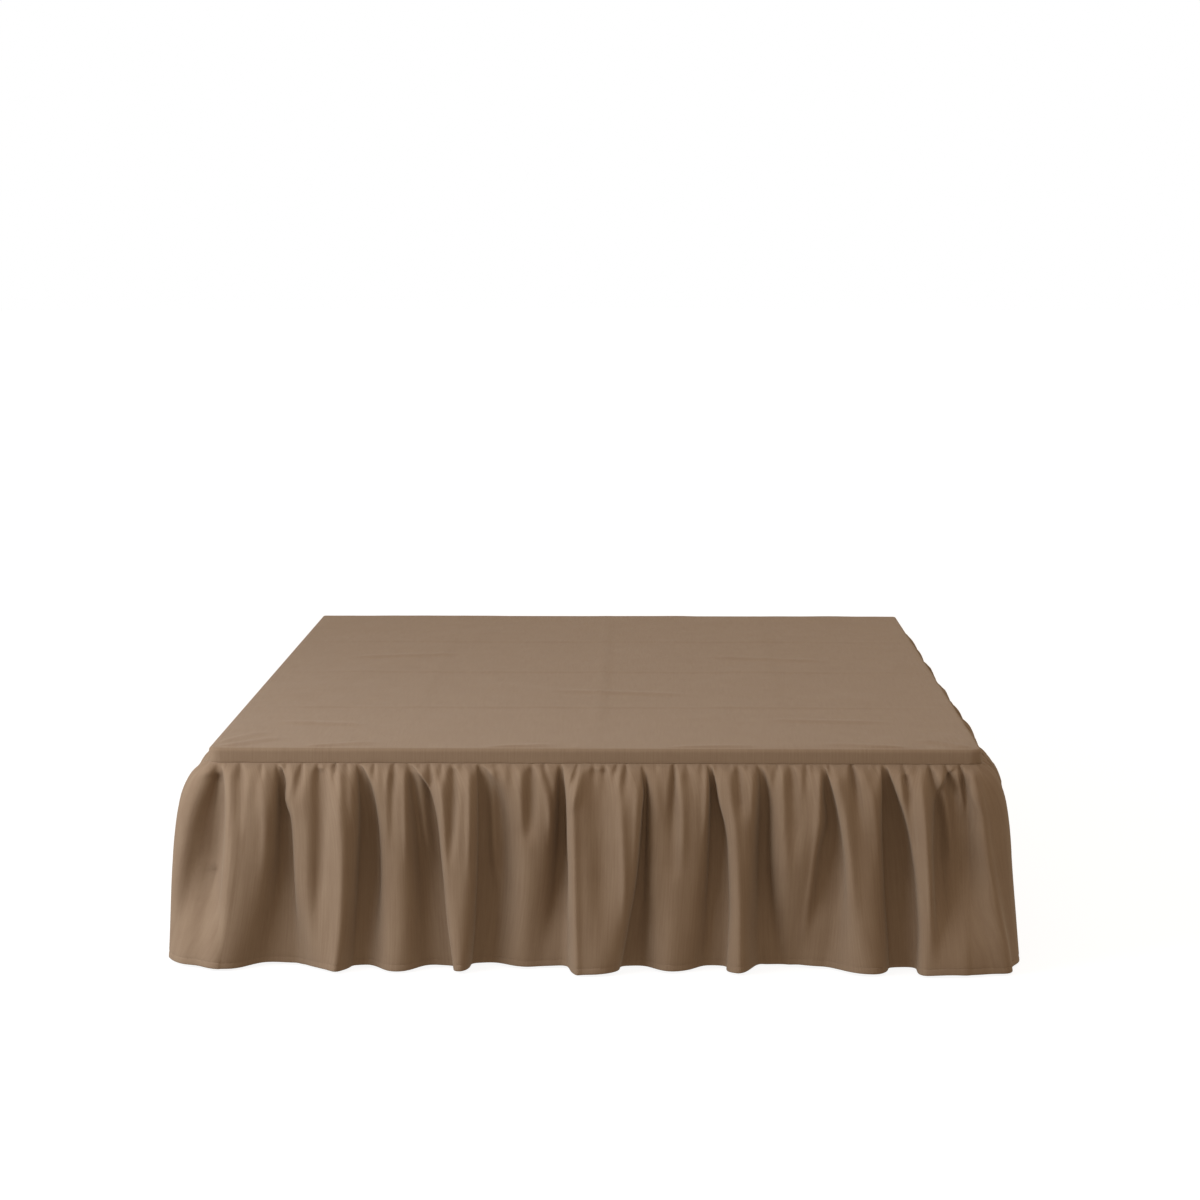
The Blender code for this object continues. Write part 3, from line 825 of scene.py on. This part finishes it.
def deck_lines():
    """Grid lines across and along the flat deck, closest where its border folds."""
    corner = np.linspace(0, DECK_INNER_RADIUS, CORNER_LINES)
    turn = DECK_INNER_RADIUS + TURN_LENGTH * np.arange(1, FOLD_LINES + 1) / FOLD_LINES
    face = turn[-1] + BORDER_FACE * np.array(BORDER_LINES)
    border = np.concatenate((corner, turn, face))
    inner = np.linspace(-CORNER_X, CORNER_X, round(2 * CORNER_X / DECK_CELL) + 1)
    across = np.concatenate((-CORNER_X - border[:0:-1], inner, CORNER_X + border[1:]))
    cells = round((HEAD_Y - CORNER_Y) / DECK_CELL)
    along = np.concatenate((CORNER_Y - border[:0:-1], np.linspace(CORNER_Y, HEAD_Y, cells + 1)))
    return across, along


def fold_down(beyond):
    """How far out and down the cloth lies, this far beyond the start of its fold."""
    angle = np.clip(beyond / DECK_FOLD, 0.0, math.pi / 2)
    below = np.maximum(beyond - TURN_LENGTH, 0.0)
    return DECK_FOLD * np.sin(angle), DECK_FOLD * (1 - np.cos(angle)) + below


def deck_relief(x, y):
    """Height of the deck's creases and of the slack between them."""
    height = np.zeros_like(x)
    for x0, y0, x1, y1, width, rise in in_metres(DECK_CREASES):
        start = np.array((x0, DECK_FOOT_Y + y0))
        run = np.array((x1, DECK_FOOT_Y + y1)) - start
        length = np.linalg.norm(run)
        share = ((x - start[0]) * run[0] + (y - start[1]) * run[1]) / length ** 2
        aside = ((x - start[0]) * run[1] - (y - start[1]) * run[0]) / length
        ends = smooth(share / CREASE_ENDS) * smooth((1 - share) / CREASE_ENDS)
        height += rise * ends * np.exp(-(aside / width) ** 2)
    slack = sum(part * cloth_noise(x, y, *noise_of) for part, *noise_of in SLACK_PARTS)
    return height + DECK_SLACK * np.clip(slack, 0.0, None)


def make_deck(material):
    """The deck panel: flat, round at the foot corners, its border turned down."""
    across, along = deck_lines()
    flat_x, flat_y = np.meshgrid(across, along[::-1])
    side = np.sign(flat_x)
    # How far each point is past a corner's middle, and at which angle round it.
    past_x = np.abs(flat_x) - CORNER_X
    past_y = CORNER_Y - flat_y
    ring = np.maximum(past_x, past_y)
    in_corner = (past_x > 0) & (past_y > 0)
    ratio = np.divide(np.minimum(past_x, past_y), ring, out=np.zeros_like(ring), where=in_corner)
    angle = np.where(past_x >= past_y, ratio * math.pi / 4, math.pi / 2 - ratio * math.pi / 4)
    out, down = fold_down(np.maximum(ring - DECK_INNER_RADIUS, 0.0))
    ripple = 1 + cloth_noise(flat_x, flat_y, RIPPLE_LENGTH, RIPPLE_LENGTH, RIPPLE_SEED)
    pulled = ripple / 2 * smooth((down - DECK_FOLD) / BORDER_FACE)
    above_seam = DECK_TOP - SEAM_HEIGHT - down
    curl = np.clip(1 - above_seam / CURL_HEIGHT, 0.0, 1.0) ** 2
    out = out + BORDER_RIPPLE * pulled - BORDER_CURL * curl
    down = down + BORDER_DIP * pulled
    reach = np.minimum(ring, DECK_INNER_RADIUS) + out
    x = np.where(in_corner, side * (CORNER_X + reach * np.cos(angle)),
                 np.where(past_x > 0, side * (CORNER_X + reach), flat_x))
    y = np.where(in_corner, CORNER_Y - reach * np.sin(angle),
                 np.where(past_y > 0, CORNER_Y - reach, flat_y))
    lift = deck_relief(x, y) * smooth(1 - ring / DECK_INNER_RADIUS)
    points = np.stack((x, y, DECK_TOP - down + lift), axis=2)
    flat = np.stack((flat_x, -flat_y), axis=2)
    mesh = sheet_mesh(points, flat)
    deck = add_piece("deck_panel_cloth", mesh, material, "skirt_cloth", "deck_panel")
    add_thickness(deck, CLOTH)


# ================================================================ materials
TAUPE_DEEP, TAUPE_PALE = "86705B", "8E7963"
TAUPE_BLOOM = "E6DCD0"
TICKING_DEEP, TICKING_PALE = "CFC8B8", "E0DACE"
BLACK_PLASTIC = "26241F"

# Patterns. Apart from the threads, these are scales of a noise that varies about once
# in a millimetre at 1.
THREAD_PITCH = 0.8              # mm; the real threads are finer, but would not show
STREAKS = (0.33, 0.012, 1.0)    # 3 mm wide and some 80 mm long, down the warp
CLOUDS = 0.02                   # shades of the dye, 50 mm across
CLOUD_SHARE = 0.35              # how much they count beside the streaks
SLUBS = 0.35                    # thick places in the ticking's yarn, 3 mm long
GRAIN = 1.2                     # the plastic's grain, 0.8 mm


def add_node(tree, kind, settings=None, links=None):
    """One node, with its settings by name and its inputs by socket, constant or link."""
    node = tree.nodes.new(kind)
    for name, value in (settings or {}).items():
        setattr(node, name, value)
    for socket, value in (links or {}).items():
        if isinstance(value, bpy.types.NodeSocket):
            tree.links.new(value, node.inputs[socket])
        else:
            node.inputs[socket].default_value = value
    return node


def new_material(name, settings):
    """A material, its nodes and its shader, whose own sockets get these settings."""
    material = bpy.data.materials.new(name)
    material.use_nodes = True
    shader = material.node_tree.nodes["Principled BSDF"]
    for socket, value in settings.items():
        shader.inputs[socket].default_value = value
    return material, material.node_tree, shader


def add_weave(tree, shader, per_mm, relief):
    """A plain weave as fine bumps: each thread passes over one and under the next."""
    axes = add_node(tree, "ShaderNodeSeparateXYZ", None, {"Vector": per_mm})
    waves = []
    for axis in ("X", "Y"):
        turns = add_node(tree, "ShaderNodeMath", {"operation": "MULTIPLY"},
                         {0: axes.outputs[axis], 1: math.pi / THREAD_PITCH})
        wave = add_node(tree, "ShaderNodeMath", {"operation": "SINE"}, {0: turns.outputs["Value"]})
        waves.append(wave.outputs["Value"])
    height = add_node(tree, "ShaderNodeMath", {"operation": "MULTIPLY"}, {0: waves[0], 1: waves[1]})
    bump = add_node(tree, "ShaderNodeBump", None,
                    {"Height": height.outputs["Value"], "Strength": 0.5, "Distance": relief})
    tree.links.new(bump.outputs["Normal"], shader.inputs["Normal"])


def plain_weave_cotton():
    """Taupe-brown cotton in plain weave, piece-dyed and washed: matt, with a soft bloom
    at grazing angles and faint streaks along the warp where threads took less dye."""
    material, tree, shader = new_material("brown plain-weave cotton", {
        "Roughness": 0.92, "Specular IOR Level": 0.25,
        "Sheen Weight": 0.22, "Sheen Roughness": 0.45, "Sheen Tint": colour(TAUPE_BLOOM)})
    place = add_node(tree, "ShaderNodeUVMap", {"uv_map": "flat cloth"}).outputs["UV"]
    per_mm = add_node(tree, "ShaderNodeVectorMath", {"operation": "SCALE"},
                      {0: place, "Scale": 1000.0}).outputs["Vector"]
    stretched = add_node(tree, "ShaderNodeMapping", None,
                         {"Vector": per_mm, "Scale": STREAKS}).outputs["Vector"]
    streaks = add_node(tree, "ShaderNodeTexNoise", {"noise_dimensions": "2D"},
                       {"Vector": stretched, "Scale": 1.0, "Detail": 3.0, "Roughness": 0.6})
    clouds = add_node(tree, "ShaderNodeTexNoise", {"noise_dimensions": "2D"},
                      {"Vector": per_mm, "Scale": CLOUDS, "Detail": 2.0})
    tones = add_node(tree, "ShaderNodeMath", {"operation": "MULTIPLY_ADD"},
                     {0: clouds.outputs["Fac"], 1: CLOUD_SHARE, 2: streaks.outputs["Fac"]})
    tone = add_node(tree, "ShaderNodeMapRange", None,
                    {"Value": tones.outputs["Value"], "From Min": 0.40, "From Max": 0.95})
    dyed = add_node(tree, "ShaderNodeMix", {"data_type": "RGBA"},
                    {"Factor": tone.outputs["Result"],
                     "A": colour(TAUPE_DEEP), "B": colour(TAUPE_PALE)})
    tree.links.new(dyed.outputs["Result"], shader.inputs["Base Color"])
    add_weave(tree, shader, per_mm, relief=0.00012)
    return material


def natural_ticking():
    """Undyed cotton ticking, woven tight and pulled flat over the base: matt and pale."""
    material, tree, shader = new_material("natural ticking", {
        "Roughness": 0.9, "Sheen Weight": 0.15})
    place = add_node(tree, "ShaderNodeTexCoord").outputs["Object"]
    per_mm = add_node(tree, "ShaderNodeVectorMath", {"operation": "SCALE"},
                      {0: place, "Scale": 1000.0}).outputs["Vector"]
    slubs = add_node(tree, "ShaderNodeTexNoise", None,
                     {"Vector": per_mm, "Scale": SLUBS, "Detail": 4.0, "Roughness": 0.7})
    woven = add_node(tree, "ShaderNodeMix", {"data_type": "RGBA"},
                     {"Factor": slubs.outputs["Fac"],
                      "A": colour(TICKING_DEEP), "B": colour(TICKING_PALE)})
    tree.links.new(woven.outputs["Result"], shader.inputs["Base Color"])
    bump = add_node(tree, "ShaderNodeBump", None,
                    {"Height": slubs.outputs["Fac"], "Strength": 0.4, "Distance": 0.0002})
    tree.links.new(bump.outputs["Normal"], shader.inputs["Normal"])
    return material


def moulded_black_plastic():
    """Moulded polypropylene with a fine spark-eroded grain: dark, with a dull gloss."""
    material, tree, shader = new_material("moulded black plastic", {
        "Base Color": colour(BLACK_PLASTIC), "Roughness": 0.5})
    place = add_node(tree, "ShaderNodeTexCoord").outputs["Object"]
    per_mm = add_node(tree, "ShaderNodeVectorMath", {"operation": "SCALE"},
                      {0: place, "Scale": 1000.0}).outputs["Vector"]
    grain = add_node(tree, "ShaderNodeTexNoise", None,
                     {"Vector": per_mm, "Scale": GRAIN, "Detail": 2.0})
    bump = add_node(tree, "ShaderNodeBump", None,
                    {"Height": grain.outputs["Fac"], "Strength": 0.25, "Distance": 0.0001})
    tree.links.new(bump.outputs["Normal"], shader.inputs["Normal"])
    return material


def white_floor():
    """A white studio floor, lit from within so that shadows on it stay faint."""
    return new_material("white studio floor", {
        "Base Color": colour("808080"), "Roughness": 0.95, "Specular IOR Level": 0.1,
        "Emission Color": colour("FFFFFF"), "Emission Strength": FLOOR_GLOW})[0]


def white_backdrop():
    """An evenly white backdrop, which takes no light or shade from anything."""
    return new_material("white backdrop", {
        "Base Color": colour("000000"), "Specular IOR Level": 0.0,
        "Emission Color": colour("FFFFFF"), "Emission Strength": 1.0})[0]


def dress(node, material):
    """Gives a solid of the frame its material."""
    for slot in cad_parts[node].material_slots:
        slot.material = material


# ================================================================ studio and camera
def add_stage(name, bm, material):
    """A part of the studio, which neither lights the object nor shades it."""
    mesh = bpy.data.meshes.new(name)
    bm.to_mesh(mesh)
    bm.free()
    mesh.materials.append(material)
    stage = bpy.data.objects.new(name, mesh)
    stage.visible_diffuse = False
    stage.visible_glossy = False
    stage.visible_shadow = False
    bpy.context.scene.collection.objects.link(stage)


def make_studio():
    """The floor, and a sphere around it as the backdrop."""
    floor = bmesh.new()
    bmesh.ops.create_grid(floor, x_segments=1, y_segments=1, size=BACKDROP_RADIUS)
    add_stage("floor", floor, white_floor())
    backdrop = bmesh.new()
    bmesh.ops.create_uvsphere(backdrop, u_segments=32, v_segments=16, radius=BACKDROP_RADIUS)
    add_stage("backdrop", backdrop, white_backdrop())


def make_world():
    """Even soft light from above the horizon, and less from below it."""
    world = bpy.data.worlds.new("studio")
    bpy.context.scene.world = world
    world.use_nodes = True
    tree = world.node_tree
    direction = add_node(tree, "ShaderNodeTexCoord").outputs["Generated"]
    height = add_node(tree, "ShaderNodeSeparateXYZ", None, {"Vector": direction}).outputs["Z"]
    strength = add_node(tree, "ShaderNodeMapRange", None,
                        {"Value": height, "From Min": -HORIZON_BLEND, "From Max": HORIZON_BLEND,
                         "To Min": LOWER_LIGHT, "To Max": UPPER_LIGHT})
    background = tree.nodes["Background"]
    background.inputs["Color"].default_value = colour(SURROUNDINGS)
    tree.links.new(strength.outputs["Result"], background.inputs["Strength"])


def make_lights():
    """Square soft boxes, which the camera doesn't see."""
    for place, aimed_at, size, power in SOFT_BOXES:
        light = bpy.data.lights.new("soft box", "AREA")
        light.shape = "SQUARE"
        light.size = size
        light.energy = power
        light.color = colour(SOFT_BOX_COLOUR)[:3]
        lamp = bpy.data.objects.new("soft box", light)
        lamp.location = place
        aim = Vector(aimed_at) - Vector(place)
        lamp.rotation_euler = aim.to_track_quat("-Z", "Y").to_euler()
        lamp.visible_camera = False
        bpy.context.scene.collection.objects.link(lamp)


def make_camera():
    """The photograph's camera."""
    data = bpy.data.cameras.new("camera")
    data.sensor_width = SENSOR
    data.lens = CAMERA_LENS
    camera = bpy.data.objects.new("camera", data)
    camera.location = (CAMERA_X, DECK_FOOT_Y - CAMERA_BACK, CAMERA_HEIGHT)
    camera.rotation_euler = (math.radians(90 - CAMERA_DOWN), 0.0, math.radians(CAMERA_LEFT))
    bpy.context.scene.collection.objects.link(camera)
    bpy.context.scene.camera = camera


def main():
    """Dresses the skirt and its base, and sets up the studio around them."""
    bpy.context.scene.view_settings.view_transform = "Standard"
    make_camera()
    cotton = plain_weave_cotton()
    make_drops(cotton)
    make_deck(cotton)
    dress("bed_base", natural_ticking())
    plastic = moulded_black_plastic()
    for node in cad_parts:
        if node.startswith("base_leg_"):
            dress(node, plastic)
    make_studio()
    make_world()
    make_lights()


main()
